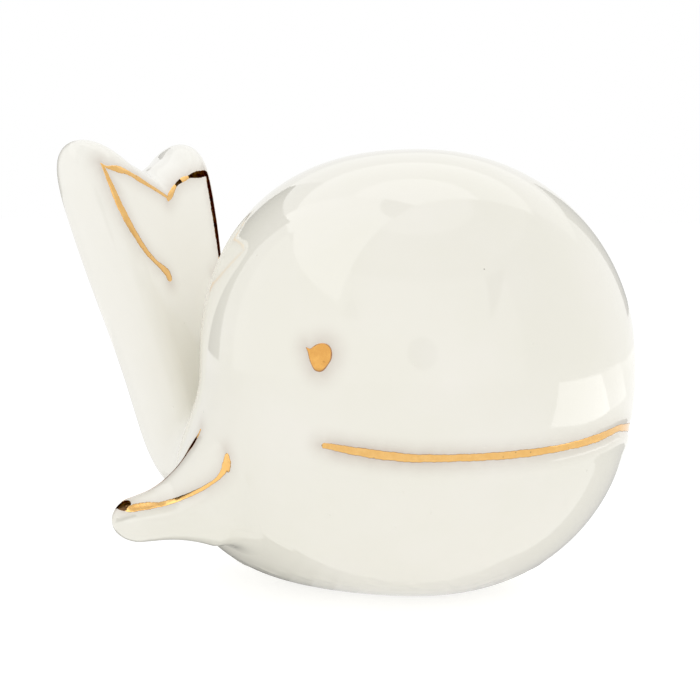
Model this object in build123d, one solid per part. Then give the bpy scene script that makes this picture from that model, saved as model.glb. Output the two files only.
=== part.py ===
from build123d import *
import math
import os

# A glazed porcelain whale with hand-gilded lines, in millimetres.
# +X runs to the nose, +Z is up, and the whale is alike on both sides of Y = 0.
# The origin is the centre of the flat foot, on the plane that the whale rests on.

# Body: a hollow ball, flattened below, fuller at the rear and drawn back low down, towards the tail.
ball_radius = 28.0
crown_height = 28.05
belly_depth = 29.4
foot_cut_depth = 0.6
crown_rear_length = 0.42
belly_rear_length = 7.1
wall_thickness = 2.8
vent_diameter = 5.0
vent_rear_length = 7.0
crown_roundness = 2.09
belly_roundness = 2.22
crown_rear_fullness = 0.28
belly_rear_fullness = 0.7
full_reach_depth_share = 0.62

# Mouth: a shallow moulded groove with a brushed gold line on its floor.
mouth_height = 20.7
mouth_nose_rise = 1.8
mouth_corner_rise = 1.2
mouth_low_angle = 64.0
mouth_end_angle = 86.5
groove_end_angle = 88.5
groove_width = 2.0
groove_depth = 0.35
mouth_line_width = 1.05
nose_rise_power = 2.5
corner_rise_power = 1.3

# Gold: how far the fired lustre stands up from the glaze, and the brush's usual width.
gold_thickness = 0.15
brush_width = 0.85

# Eyes: one brush dab each, with a corner at its upper rear.
eye_height = 32.2
eye_forward_length = 0.65
eye_width = 3.4
eye_length = 3.8
eye_upper_shares = [(-1, 0.62), (0.1, 1), (0.85, 0.6), (1, 0.05)]
eye_lower_shares = [(0.6, -0.7), (-0.1, -1), (-0.7, -0.6), (-0.9, 0)]

# Tail: a fat paddle behind the ball, leaning back, with a notched top.
tail_root_height = 15.0
tail_standout = 5.9
tail_lean = 14.8
tail_thickness = 9.2
tail_half_width = 15.2
tail_stock_half_width = 8.4
tail_length = 44.8
tail_root_depth = 6.0
notch_depth = 4.8
lobe_shares = [(0, 1), (0.2, 0.8), (0.5, 0.38), (0.76, 0.02), (0.93, 0.16), (1, 0.85)]
side_shares = [(0.05, 0.81), (0.26, 0.63), (0.6, 0.4), (0.85, 0.21), (1, 0.04)]
root_side_share = 0.8
root_drop_share = 0.58
tail_middle_share = 0.6
tail_rim_share = 0.33

# Heart-shaped gold line on the front of the tail, left open at its foot.
heart_half_width = 12.9
heart_top = 40.1
heart_notch_depth = 4.5
heart_length = 16.1
heart_side_shares = [(1, 0), (0.98, 0.17), (0.9, 0.38), (0.79, 0.6), (0.64, 0.79), (0.46, 0.9), (0.36, 1)]
heart_top_shares = [(1, 0), (0.69, 0.26), (0.47, 0.5), (0.25, 0.77), (0, 1)]

# Flippers: a short fat fin on each side, low down and behind the middle, that flares up the body.
flipper_heading = 120.5
flipper_tip_back = 25.3
flipper_standout = 4.3
flipper_tip_height = 11.2
flipper_root_height = 13.8
flipper_length = 21.5
flipper_root_chord = 13.0
flipper_root_thickness = 9.5
flipper_tip_chord = 6.4
flipper_tip_thickness = 4.8
flipper_tip_round = 3.2
flare_length = 7.0
flare_rise = 6.5
flare_drop = 1.2
flare_side = 1.5
flipper_roll = 32.0
roll_ease_share = 0.6
root_share = 0.42
dish_share = 0.6

# Gold line round the flipper, down its front edge and back up its rear one: shares of the way along
# it, each with its angle round the section.
front_along_shares = [0.43, 0.48, 0.53, 0.6, 0.7, 0.8, 0.89, 0.94]
front_angles = [112, 121, 116, 107, 91, 82, 75, 65]
rear_along_shares = [0.95, 0.91, 0.84, 0.75, 0.66, 0.58, 0.52, 0.47, 0.44]
rear_angles = [42, 24, 18, 16, 19, 26, 34, 41, 46]

# Slip: the clay that fills the corner where the tail or a flipper is stuck to the body.
slip_reach = 1.2

# Fineness of the rings that the forms are drawn through, and how far a cutting prism overruns.
ring_points = 16
body_rings = 13
tail_rings = 9
flipper_rings = 8
mouth_marks = 9
overrun = 5.0

body_centre_height = belly_depth - foot_cut_depth


def rear_share(angle):
    """How much a place belongs to the body's rear: 0 at the nose and 1 at the tail."""
    return ((1 - math.cos(math.radians(angle))) / 2) ** 2


def half_width(height, angle, grow):
    """Half of the body's width at one height, from a rounded-square curve that is fuller at the rear."""
    rise = height - body_centre_height
    limit = (crown_height if rise > 0 else belly_depth) + grow
    power = crown_roundness if rise > 0 else belly_roundness
    power += (crown_rear_fullness if rise > 0 else belly_rear_fullness) * rear_share(angle)
    left = max(1 - abs(rise / limit) ** power, 0)
    return (ball_radius + grow) * left ** (1 / power)


def rear_reach(height):
    """How far the body is drawn back behind its round half at one height."""
    drop = max(body_centre_height - height, 0) / (belly_depth * full_reach_depth_share)
    low = belly_rear_length * math.sin(math.pi / 2 * min(drop, 1)) ** 2
    return low + crown_rear_length * half_width(height, 0, 0) / ball_radius


body_centre_x = (rear_reach(0) + half_width(0, 180, 0) - half_width(0, 0, 0)) / 2


def body_point(height, angle, grow=0):
    """A point of the body's surface; the angle is counted round from the nose, in degrees."""
    turn = math.radians(angle)
    back = rear_reach(height) * rear_share(angle)
    width = half_width(height, angle, grow)
    return Vector(body_centre_x + width * math.cos(turn) - back, width * math.sin(turn), height)


def ring(points, marks=None):
    """A closed smooth ring through points, each at its own mark from 0 to 1."""
    marks = marks or [i / len(points) for i in range(len(points) + 1)]
    return Wire([Edge.make_spline(points, periodic=True, parameters=marks)])


def body_form(grow):
    """The body as a solid grown by one distance, cut level at its foot or, shrunk, above it."""
    floor = max(-grow, 0)
    low = math.asin((floor - body_centre_height) / (belly_depth + grow))
    rings = []
    for k in range(body_rings):
        lift = low + (math.pi / 2 - low) * k / body_rings
        limit = (crown_height if lift > 0 else belly_depth) + grow
        height = body_centre_height + limit * math.sin(lift)
        rings.append(ring([body_point(height, 360 * i / ring_points, grow) for i in range(ring_points)]))
    crown = Vertex(body_centre_x, 0, body_centre_height + crown_height + grow)
    return Solid.make_loft(rings + [crown])


def tail_outline():
    """The tail's outline as (side, up) pairs, from the notch right round."""
    half = []
    for side_share, drop_share in lobe_shares:
        half.append((side_share * tail_half_width, tail_length - drop_share * notch_depth))
    for narrow_share, up_share in side_shares:
        width = tail_half_width + narrow_share * (tail_stock_half_width - tail_half_width)
        half.append((width, up_share * tail_length))
    half.append((root_side_share * tail_stock_half_width, -root_drop_share * tail_root_depth))
    half.append((0, -tail_root_depth))
    return half + [(-side, up) for side, up in half[-2:0:-1]]


def tail_place(out, side, up):
    """Place of a point given in the tail's own leaning frame: out of its front, to its side, up it."""
    lean = math.radians(tail_lean)
    x = body_centre_x - ball_radius - tail_standout + out * math.cos(lean) - up * math.sin(lean)
    return Vector(x, side, tail_root_height + out * math.sin(lean) + up * math.cos(lean))


def tail_form(grow):
    """The tail as a pebble on its outline: rings that swell and shrink from front to back."""
    outline = tail_outline()
    middle = tail_length * tail_middle_share
    steps = [math.dist(a, b) for a, b in zip(outline, outline[1:] + outline[:1])]
    marks = [sum(steps[:i]) / sum(steps) for i in range(len(steps) + 1)]
    rings = []
    for k in range(tail_rings):
        turn = math.pi * k / (tail_rings - 1)
        size = 1 - tail_rim_share * (1 - math.sin(turn)) + grow * math.sin(turn) / tail_half_width
        out = (tail_thickness / 2 + grow) * math.cos(turn)
        points = [tail_place(out, side * size, middle + (up - middle) * size) for side, up in outline]
        rings.append(ring(points, marks))
    return Solid.make_loft(rings)


def flipper_point(along, angle, grow=0):
    """A point of the right flipper's surface, along it from 0 to 1 and round its section."""
    heading = math.radians(flipper_heading)
    axis = Vector(math.cos(heading), -math.sin(heading), 0)
    back = Vector(-math.sin(heading), -math.cos(heading), 0)
    up = Vector(0, 0, 1)
    tip = Vector(body_centre_x - flipper_tip_back, -ball_radius - flipper_standout, flipper_tip_height)
    inner = tip - axis * flipper_length + up * (flipper_root_height - flipper_tip_height)
    from_tip = min((1 - along) * flipper_length / flipper_tip_round, 1)
    cap = math.sqrt(1 - (1 - from_tip) ** 2)
    chord = flipper_root_chord + (flipper_tip_chord - flipper_root_chord) * along
    thickness = flipper_root_thickness + (flipper_tip_thickness - flipper_root_thickness) * along
    roll = math.radians(flipper_roll * (1 - roll_ease_share * along))
    rear = back * math.cos(roll) + up * math.sin(roll)
    lift = up * math.cos(roll) - back * math.sin(roll)
    turn = math.radians(angle)
    dish = 1 - dish_share * max(math.sin(turn), 0) ** 2
    outside = max(along - root_share, 0) * flipper_length
    flare = max(1 - outside / flare_length, 0) ** 2
    aft = (chord * cap / 2 + flare_side * flare + grow) * math.cos(turn)
    rise = (thickness * cap / 2 * dish + grow) * math.sin(turn)
    rise += flare * math.sin(turn) * (flare_rise if math.sin(turn) > 0 else flare_drop)
    return inner + (tip - inner) * along + axis * (grow * along) + rear * aft + lift * rise


def flipper_form(grow):
    """The right flipper as rings along its axis, from inside the body out to its round tip."""
    rings = []
    for k in range(flipper_rings):
        along = math.sin(math.pi / 2 * k / flipper_rings)
        rings.append(ring([flipper_point(along, 360 * i / ring_points, grow) for i in range(ring_points)]))
    tip = (flipper_point(1, 0, grow) + flipper_point(1, 180, grow)) / 2
    return Solid.make_loft(rings + [Vertex(*tip)])


def mouth_level(angle):
    """Height of the mouth's middle line at one angle round from the nose."""
    if angle < mouth_low_angle:
        return mouth_height + mouth_nose_rise * (1 - angle / mouth_low_angle) ** nose_rise_power
    past = (angle - mouth_low_angle) / (mouth_end_angle - mouth_low_angle)
    return mouth_height + mouth_corner_rise * past ** corner_rise_power


def stroke(points, width):
    """A flat brush stroke of one width along a smooth line of (x, y) points."""
    left, right = [], []
    for k, (x, y) in enumerate(points):
        x0, y0 = points[max(k - 1, 0)]
        x1, y1 = points[min(k + 1, len(points) - 1)]
        across = Vector(y0 - y1, x1 - x0).normalized() * (width / 2)
        left.append(Vector(x, y) + across)
        right.append(Vector(x, y) - across)
    edges = [Spline(*left), Line(left[-1], right[-1]), Spline(*right[::-1]), Line(right[0], left[0])]
    return Face(Wire(edges))


def mouth_band(width, end_angle):
    """A band through the head along the mouth's line, as seen from the side."""
    angles = [end_angle * k / (mouth_marks - 1) for k in range(mouth_marks)]
    points = [(body_point(mouth_level(a), a).X, mouth_level(a)) for a in angles]
    ahead = (points[0][0] + overrun, points[0][1])
    band = side_view * stroke([ahead] + points, width)
    return extrude(band, ball_radius + overrun, side_view.z_dir, both=True)


def slip_bead(form, grown):
    """The bead of slip in the corner between the body and a form that is stuck on it."""
    return (body_form(slip_reach) & grown) - body_outer - form


def mirrored(solid):
    """The same piece on the whale's other side."""
    return solid.mirror(Plane.XZ)


# Views that flat outlines are drawn in: from the whale's right, and square on to the tail's front.
side_view = Plane(origin=(0, 0, 0), x_dir=(1, 0, 0), z_dir=(0, -1, 0))
tail_front = tail_place(1, 0, 0) - tail_place(0, 0, 0)
tail_view = Plane(origin=tail_place(0, 0, 0), x_dir=(0, 1, 0), z_dir=tail_front)

# Body shell: hollow, with the mouth's groove, and a vent in its foot for the air that the kiln heats.
body_outer = body_form(0)
groove_floor = body_form(-groove_depth)
groove = mouth_band(groove_width, groove_end_angle) - groove_floor
vent = Pos(-vent_rear_length, 0, 0) * Cylinder(vent_diameter / 2, 2 * (wall_thickness + overrun))
body_shell = body_outer - body_form(-wall_thickness) - vent - groove

# Tail and flippers, cut where they meet the body, and the slip that sticks them on.
tail_whole = tail_form(0)
tail = tail_whole - body_outer
tail_slip = slip_bead(tail_whole, tail_form(slip_reach))
flipper_whole = flipper_form(0)
right_flipper = flipper_whole - body_outer
right_flipper_slip = slip_bead(flipper_whole, flipper_form(slip_reach))

# Gold mouth line, on the groove's floor.
mouth_line = mouth_band(mouth_line_width, mouth_end_angle) & body_form(gold_thickness - groove_depth)
mouth_line = mouth_line - groove_floor

# Gold eyes, on the body's sides.
eye_points = []
for across_share, up_share in eye_upper_shares + eye_lower_shares:
    x = body_centre_x + eye_forward_length + across_share * eye_width / 2
    eye_points.append(Vector(x, eye_height + up_share * eye_length / 2))
eye_outline = Face(Wire([Edge.make_spline(eye_points, periodic=True)]))
eye_prism = extrude(side_view * eye_outline, ball_radius + overrun, side_view.z_dir)
right_eye = (eye_prism & body_form(gold_thickness)) - body_outer

# Gold heart on the tail's front: two sides and a notched top, each side of it one brush stroke.
heart_strokes = []
for side in (1, -1):
    for shares, depth in ((heart_side_shares, heart_length), (heart_top_shares, heart_notch_depth)):
        points = [(side * a * heart_half_width, heart_top - b * depth) for a, b in shares]
        face = tail_view * stroke(points, brush_width)
        heart_strokes.append(extrude(face, tail_thickness, tail_view.z_dir))
heart = heart_strokes[0] + heart_strokes[1:]
fluke_line = (heart & tail_form(gold_thickness)) - tail_whole

# Gold line round each flipper: a strip laid half in the fin, less all that lies under its surface.
places = list(zip(front_along_shares + rear_along_shares, front_angles + rear_angles))
middles = [flipper_point(along, angle) for along, angle in places]
sections = []
for k, (along, angle) in enumerate(places):
    onward = (middles[min(k + 1, len(middles) - 1)] - middles[max(k - 1, 0)]).normalized()
    outward = flipper_point(along, angle, gold_thickness) - middles[k]
    across = onward.cross(outward).normalized() * (brush_width / 2)
    outward = across.cross(onward).normalized() * gold_thickness
    corners = [middles[k] + across * a + outward * b for a, b in ((-1, -1), (1, -1), (1, 1), (-1, 1))]
    sections.append(Wire(Polyline(*corners, close=True)))
right_flipper_line = Solid.make_loft(sections) - flipper_whole - body_outer - right_flipper_slip

nodes = {
    "body_shell": body_shell,
    "tail": tail,
    "tail_slip": tail_slip,
    "right_flipper": right_flipper,
    "left_flipper": mirrored(right_flipper),
    "right_flipper_slip": right_flipper_slip,
    "left_flipper_slip": mirrored(right_flipper_slip),
    "mouth_line": mouth_line,
    "right_eye": right_eye,
    "left_eye": mirrored(right_eye),
    "fluke_line": fluke_line,
    "right_flipper_line": right_flipper_line,
    "left_flipper_line": mirrored(right_flipper_line),
}
os.makedirs("parts", exist_ok=True)
for name, solid in nodes.items():
    export_step(solid, f"parts/{name}.step")
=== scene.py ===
import math

import bpy
import numpy as np
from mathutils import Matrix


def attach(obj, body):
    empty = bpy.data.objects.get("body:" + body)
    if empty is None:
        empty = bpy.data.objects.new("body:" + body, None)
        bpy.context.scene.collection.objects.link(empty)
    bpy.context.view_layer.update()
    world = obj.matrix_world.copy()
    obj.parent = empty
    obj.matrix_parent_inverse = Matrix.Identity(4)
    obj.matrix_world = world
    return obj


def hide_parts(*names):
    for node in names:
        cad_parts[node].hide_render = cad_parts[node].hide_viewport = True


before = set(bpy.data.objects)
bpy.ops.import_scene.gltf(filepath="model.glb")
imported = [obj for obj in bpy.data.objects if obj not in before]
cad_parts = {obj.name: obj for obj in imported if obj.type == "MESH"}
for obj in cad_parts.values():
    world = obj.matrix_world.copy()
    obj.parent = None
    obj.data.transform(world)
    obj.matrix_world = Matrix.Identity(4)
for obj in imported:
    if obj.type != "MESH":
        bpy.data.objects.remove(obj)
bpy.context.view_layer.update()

mm = 0.001

# body
# The body is a hollow ball of slip-cast porcelain, flattened a little on top and below, fuller at
# the rear and drawn back low down. It came out of a two-part mould with its mouth's groove in it,
# and it is dipped in a creamy clear glaze that is wiped off the flat foot, round the kiln vent.
ball_radius = 28.0
crown_height = 28.05
belly_depth = 29.4
foot_cut_depth = 0.6
crown_rear_length = 0.42
belly_rear_length = 7.1
crown_roundness = 2.09
belly_roundness = 2.22
crown_rear_fullness = 0.28
belly_rear_fullness = 0.7
full_reach_depth_share = 0.62
wall_thickness = 2.8
vent_radius = 2.5
vent_rear_length = 7.0

mouth_height = 20.7
mouth_nose_rise = 1.8
mouth_corner_rise = 1.2
mouth_nose_power = 2.5
mouth_corner_power = 1.3
mouth_low_turn = math.radians(64)
mouth_end_turn = math.radians(86.5)
mouth_fade_turn = math.radians(150)
nose_blend_turn = math.radians(3)
groove_half_width = 1.35
groove_depth = 0.24
lip_swell = 0.16
lip_drop = 2.0
lip_spread = 0.9
glaze_edge_height = 3.3
glaze_edge_waver = 0.55
glaze_edge_waves = (31, 13, 7.3)
glaze_roll = 0.09
glaze_roll_spread = 0.32
glaze_roll_waves = (9, 4.1)
glaze_roll_waver = 0.4
glaze_crease = 0.054
glaze_crease_rise = 1.1
glaze_crease_waver = 0.3
glaze_crease_spread = 0.25
glaze_crease_waves = (11, 5)
glaze_crease_gap_waves = (23, 17)
glaze_foot_fade = (0.3, 1.5)
groove_end_ease = (-0.02, 0.06)
slope_step = 0.01
steepest_slope = 20
body_centre_height = belly_depth - foot_cut_depth


def rear_share(turn):
    """How much a place belongs to the body's rear: 0 at the nose, 1 at the tail, (1 - cos) / 2 squared."""
    return ((1 - np.cos(turn)) / 2) ** 2


def half_width(height, turn, grow=0.0):
    """Half of the body's width: a superellipse over the height, of one power above the middle and
    another below it, each raised a little towards the rear."""
    rise = height - body_centre_height
    above = rise > 0
    limit = np.where(above, crown_height, belly_depth) + grow
    power = np.where(above, crown_roundness + crown_rear_fullness * rear_share(turn),
                     belly_roundness + belly_rear_fullness * rear_share(turn))
    left = np.clip(1 - np.abs(rise / limit) ** power, 0, None)
    return (ball_radius + grow) * left ** (1 / power)


def rear_reach(height):
    """How far the rear is drawn back: a squared sine of the depth below the middle, and a share of the width."""
    drop = np.clip(body_centre_height - height, 0, None) / (belly_depth * full_reach_depth_share)
    low = belly_rear_length * np.sin(math.pi / 2 * np.minimum(drop, 1)) ** 2
    return low + crown_rear_length * half_width(height, 0.0) / ball_radius


body_centre_x = float(rear_reach(0.0) + half_width(0.0, math.pi) - half_width(0.0, 0.0)) / 2


def body_place(height, turn, grow=0.0):
    """A point of the body: the half width taken round by the turn, less the rear's reach."""
    width = half_width(height, turn, grow)
    x = body_centre_x + width * np.cos(turn) - rear_reach(height) * rear_share(turn)
    return np.stack(np.broadcast_arrays(x, width * np.sin(turn), height), -1)


def body_field(place, rounds=12):
    """Below 0 inside the body and above 0 outside: the distance from the middle less the half width,
    at a turn that is found again and again until the rear's reach fits it."""
    x, y, z = place[..., 0], place[..., 1], place[..., 2]
    reach = rear_reach(z)
    turn = np.arctan2(y, x - body_centre_x)
    for _ in range(rounds):
        turn = np.arctan2(y, x - body_centre_x + reach * rear_share(turn))
    return np.hypot(y, x - body_centre_x + reach * rear_share(turn)) - half_width(z, turn)


def smoothstep(value, start, end):
    """0 before start, 1 after end, and the cubic 3t^2 - 2t^3 between."""
    t = np.clip((value - start) / (end - start), 0, 1)
    return t * t * (3 - 2 * t)


def mouth_level(turn):
    """Height of the mouth's line: it falls from the nose by a power of the turn, lies level at its
    low turn, rises to the corner, and beyond the corner eases back to the plain height."""
    a = np.sqrt(turn ** 2 + nose_blend_turn ** 2)
    front = mouth_nose_rise * np.clip(1 - a / mouth_low_turn, 0, 1) ** mouth_nose_power
    past = np.clip((a - mouth_low_turn) / (mouth_end_turn - mouth_low_turn), 0, 1) ** mouth_corner_power
    return mouth_height + front + mouth_corner_rise * past * (1 - smoothstep(a, mouth_end_turn, mouth_fade_turn))


def unit(vectors):
    """The same vectors at length 1."""
    return vectors / np.maximum(np.linalg.norm(vectors, axis=-1, keepdims=True), 1e-12)


def waver(at, lengths, seed):
    """A smooth uneven line: sines of the given wave lengths, with seeded phases, of about 1 in all."""
    phases = np.random.default_rng(seed).uniform(0, 2 * math.pi, len(lengths))
    return sum(np.sin(2 * math.pi * at / w + p) for w, p in zip(lengths, phases)) / math.sqrt(len(lengths))


def skin_place(height, turn):
    """A point of the glazed skin: the plain body, moved along its normal by the mouth's hollow groove,
    the swell of the lip under it, and the rolled and wrinkled edge of the glaze above the foot."""
    slope = (half_width(height + slope_step, turn) - half_width(height - slope_step, turn)) / (2 * slope_step)
    slope = np.clip(slope, -steepest_slope, steepest_slope)
    flat = np.stack(np.broadcast_arrays(np.cos(turn), np.sin(turn), -slope), -1)
    from_line = height - mouth_level(turn)
    in_mouth = 1 - smoothstep(np.abs(turn), *[mouth_end_turn + ease for ease in groove_end_ease])
    groove = groove_depth * np.clip(1 - (from_line / groove_half_width) ** 2, 0, 1) ** 2
    lip = lip_swell * np.exp(-((from_line + lip_drop) / lip_spread) ** 2)
    around = turn * ball_radius
    edge = glaze_edge_height + glaze_edge_waver * waver(around, glaze_edge_waves, 3)
    roll = np.exp(-((height - edge) / glaze_roll_spread) ** 2)
    roll *= 1 - glaze_roll_waver + glaze_roll_waver * waver(around, glaze_roll_waves, 5)
    crease_height = edge + glaze_crease_rise + glaze_crease_waver * waver(around, glaze_crease_waves, 7)
    crease = np.exp(-((height - crease_height) / glaze_crease_spread) ** 2)
    crease *= smoothstep(waver(around, glaze_crease_gap_waves, 9), 0.1, 0.8)
    glaze_swell = (glaze_roll * roll + glaze_crease * crease) * smoothstep(height, *glaze_foot_fade)
    return body_place(height, turn) + unit(flat) * ((lip - groove) * in_mouth + glaze_swell)[..., None]


def surface(name, *grids, ends=(False, False), close_round=True, across=None):
    """A mesh of the quads between neighbours in grids of points, rows by columns, in millimetres.
    The columns may close on themselves, and an end row may be drawn together into one point. Its
    own map tells how far each corner lies along the rows, and across them, from 0 to 1."""
    places, faces, spots = [], [], []
    first = 0
    for points in grids:
        rows, cols = points.shape[:2]
        kept = np.ones((rows, cols), bool)
        kept[0, 1:] = not ends[0]
        kept[-1, 1:] = not ends[1]
        index = first + np.cumsum(kept).reshape(rows, cols) - 1
        first += kept.sum()
        ring_rows = index[int(ends[0]):rows - int(ends[1])]
        left = ring_rows if close_round else ring_rows[:, :-1]
        right = np.roll(ring_rows, -1, axis=1) if close_round else ring_rows[:, 1:]
        faces += np.stack([left[:-1], right[:-1], right[1:], left[1:]], -1).reshape(-1, 4).tolist()
        if ends[0]:
            faces += np.stack([right[0], left[0], 0 * left[0] + index[0, 0]], -1).tolist()
        if ends[1]:
            faces += np.stack([left[-1], right[-1], 0 * left[-1] + index[-1, 0]], -1).tolist()
        down, over = np.meshgrid(np.linspace(0, 1, rows), np.linspace(0, 1, cols), indexing="ij")
        over = over if across is None else across + 0 * over
        places.append(points[kept])
        spots.append(np.stack([down, over], -1)[kept])
    places, spots = np.concatenate(places), np.concatenate(spots)
    mesh = bpy.data.meshes.new(name)
    mesh.from_pydata((places * mm).tolist(), [], faces)
    mesh.polygons.foreach_set("use_smooth", np.ones(len(mesh.polygons), bool))
    loops = np.zeros(len(mesh.loops), np.int32)
    mesh.loops.foreach_get("vertex_index", loops)
    mesh.uv_layers.new(name="map").data.foreach_set("uv", spots[loops].astype(np.float32).ravel())
    mesh.update()
    piece = bpy.data.objects.new(name, mesh)
    bpy.context.scene.collection.objects.link(piece)
    return piece


def full_turn(count):
    """Evenly spaced turns all the way round, without the last one, which is the first again."""
    return np.linspace(0, 2 * math.pi, count + 1)[:-1]


# Heights of the outer rows: even in angle over the ball, and closer together at the mouth, whose
# line they follow.
body_rows, body_columns, inner_rows = 130, 288, 40
mouth_row_reach, mouth_row_gap = 3.0, 0.15
follow_spread, follow_foot_fade = 5.5, 3
lift = np.linspace(math.pi / 2, math.asin(-body_centre_height / belly_depth), body_rows)
row_heights = body_centre_height + np.where(lift > 0, crown_height, belly_depth) * np.sin(lift)
mouth_rows = mouth_height + np.arange(-mouth_row_reach, mouth_row_reach + 0.01, mouth_row_gap)
row_heights = np.sort(np.concatenate([row_heights, mouth_rows]))[::-1]
row_heights[-1] = 0.0
turns = full_turn(body_columns) - math.pi
height_grid, turn_grid = np.meshgrid(row_heights, turns, indexing="ij")
follow = (mouth_level(turn_grid) - mouth_height) * np.exp(-((height_grid - mouth_height) / follow_spread) ** 2)
height_grid = height_grid + follow * smoothstep(height_grid, 0, follow_foot_fade)
outer = skin_place(height_grid, turn_grid)
outer[0] = (body_centre_x, 0, body_centre_height + crown_height)

vent_ring = np.stack([vent_radius * np.cos(turns) - vent_rear_length, vent_radius * np.sin(turns), 0 * turns], -1)
share = np.linspace(0, 1, 9)[1:, None, None]
foot = outer[-1] + (vent_ring - outer[-1]) * share
lowest_lift = math.asin((wall_thickness - body_centre_height) / (belly_depth - wall_thickness))
inner_lift = np.linspace(lowest_lift, math.pi / 2, inner_rows)
inner_limit = np.where(inner_lift > 0, crown_height, belly_depth) - wall_thickness
inner_heights = body_centre_height + inner_limit * np.sin(inner_lift)
inner = body_place(*np.meshgrid(inner_heights, turns, indexing="ij"), -wall_thickness)
inner[-1] = (body_centre_x, 0, inner_heights[-1])
vent_top = vent_ring + np.array([0, 0, wall_thickness])
floor_rows = vent_top + (inner[0] - vent_top) * share[:-1]
body = surface("glazed_body", np.concatenate([outer, foot, vent_top[None], floor_rows, inner]), ends=(True, True))


def add_node(tree, kind, settings=(), **inputs):
    """A shader node with its settings, whose inputs take a number, a colour or another node's output.
    An input is called by its name, or by its number after an i."""
    made = tree.nodes.new("ShaderNode" + kind)
    for key, value in dict(settings).items():
        setattr(made, key, value)
    for key, value in inputs.items():
        numbered = key[0] == "i" and key[1:].isdigit()
        socket = made.inputs[int(key[1:])] if numbered else made.inputs[key.replace("_", " ")]
        if isinstance(value, bpy.types.NodeSocket):
            tree.links.new(value, socket)
        else:
            socket.default_value = value
    return made


def sum_node(tree, operation, *values):
    """A Math node's result from two or three numbers or outputs."""
    inputs = {f"i{k}": value for k, value in enumerate(values)}
    return add_node(tree, "Math", {"operation": operation}, **inputs).outputs[0]


def ramp(tree, value, *stops):
    """A colour ramp over a value, with (place, colour) stops; a number stands for a grey."""
    made = add_node(tree, "ValToRGB", Fac=value)
    elements = made.color_ramp.elements
    while len(elements) < len(stops):
        elements.new(0.5)
    for element, (place, tone) in zip(elements, stops):
        element.position = place
        element.color = (tone, tone, tone, 1) if isinstance(tone, (int, float)) else (*tone, 1)
    return made.outputs["Color"]


def blend_colours(tree, share, first, second):
    """The first colour, turning into the second where the share is 1."""
    made = add_node(tree, "Mix", {"data_type": "RGBA"}, i0=share, i6=first, i7=second)
    return made.outputs[2]


glaze_cream = (0.862, 0.843, 0.754)
glaze_pale = (0.880, 0.858, 0.782)
fume_tint = (0.51, 0.415, 0.35)
speck_brown = (0.30, 0.27, 0.22)
bisque_white = (0.80, 0.775, 0.72)
glaze_roughness = 0.045
bisque_roughness = 0.62
cloud_scale, wave_scale, speck_scale, pinhole_scale, stain_scale = 70.0, 95.0, 150.0, 230.0, 900.0
wave_height, pinhole_depth = 0.00004, 0.00006


def new_material(name):
    """An empty material and its node tree."""
    material = bpy.data.materials.new(name)
    material.use_nodes = True
    return material, material.node_tree


def glaze_finish(name, cream=glaze_cream, pale=glaze_pale, foot=False):
    """Creamy glaze over porcelain: cloudy where it lies thicker, with a few specks and pinholes, a slow
    wave in its gloss, and a grey stain where the gold's fumes touched it. A foot is wiped bare."""
    material, tree = new_material(name)
    shader = tree.nodes["Principled BSDF"]
    place = add_node(tree, "TexCoord").outputs["Object"]
    cloud = add_node(tree, "TexNoise", Vector=place, Scale=cloud_scale, Detail=3.0, Roughness=0.55).outputs["Fac"]
    colour = blend_colours(tree, ramp(tree, cloud, (0.4, 0.0), (0.68, 1.0)), (*cream, 1), (*pale, 1))
    stain = add_node(tree, "Attribute", {"attribute_name": "gold_fume"}).outputs["Fac"]
    patchy = add_node(tree, "TexNoise", Vector=place, Scale=stain_scale, Detail=2.0).outputs["Fac"]
    stain = sum_node(tree, "MULTIPLY", stain, ramp(tree, patchy, (0.3, 0.8), (0.7, 1.0)))
    colour = blend_colours(tree, stain, colour, (*fume_tint, 1))
    speck = add_node(tree, "TexVoronoi", Vector=place, Scale=speck_scale).outputs["Distance"]
    speck = ramp(tree, speck, (0.010, 0.85), (0.019, 0.0))
    colour = blend_colours(tree, speck, colour, (*speck_brown, 1))
    slow = add_node(tree, "TexNoise", Vector=place, Scale=wave_scale, Detail=1.0).outputs["Fac"]
    wave = add_node(tree, "Bump", Strength=1.0, Distance=wave_height, Height=slow).outputs["Normal"]
    hole = add_node(tree, "TexVoronoi", {"feature": "F1"}, Vector=place, Scale=pinhole_scale).outputs["Distance"]
    hole = ramp(tree, hole, (0.015, 0.0), (0.04, 1.0))
    normal = add_node(tree, "Bump", Strength=0.6, Distance=pinhole_depth, Height=hole, Normal=wave).outputs["Normal"]
    shader.inputs["Roughness"].default_value = glaze_roughness
    if foot:
        height = add_node(tree, "SeparateXYZ", Vector=place).outputs["Z"]
        bare = ramp(tree, sum_node(tree, "MULTIPLY", height, 1000.0), (0.25, 1.0), (0.6, 0.0))
        colour = blend_colours(tree, bare, colour, (*bisque_white, 1))
        gloss = add_node(tree, "MapRange", Value=bare, i3=glaze_roughness, i4=bisque_roughness).outputs[0]
        tree.links.new(gloss, shader.inputs["Roughness"])
    tree.links.new(colour, shader.inputs["Base Color"])
    tree.links.new(normal, shader.inputs["Normal"])
    return material


def finish_with(piece, material):
    """Gives a piece its one material."""
    piece.data.materials.clear()
    piece.data.materials.append(material)


finish_with(body, glaze_finish("body_glaze", foot=True))
glaze = glaze_finish("glaze")
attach(body, "root")
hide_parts("body_shell")

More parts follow.
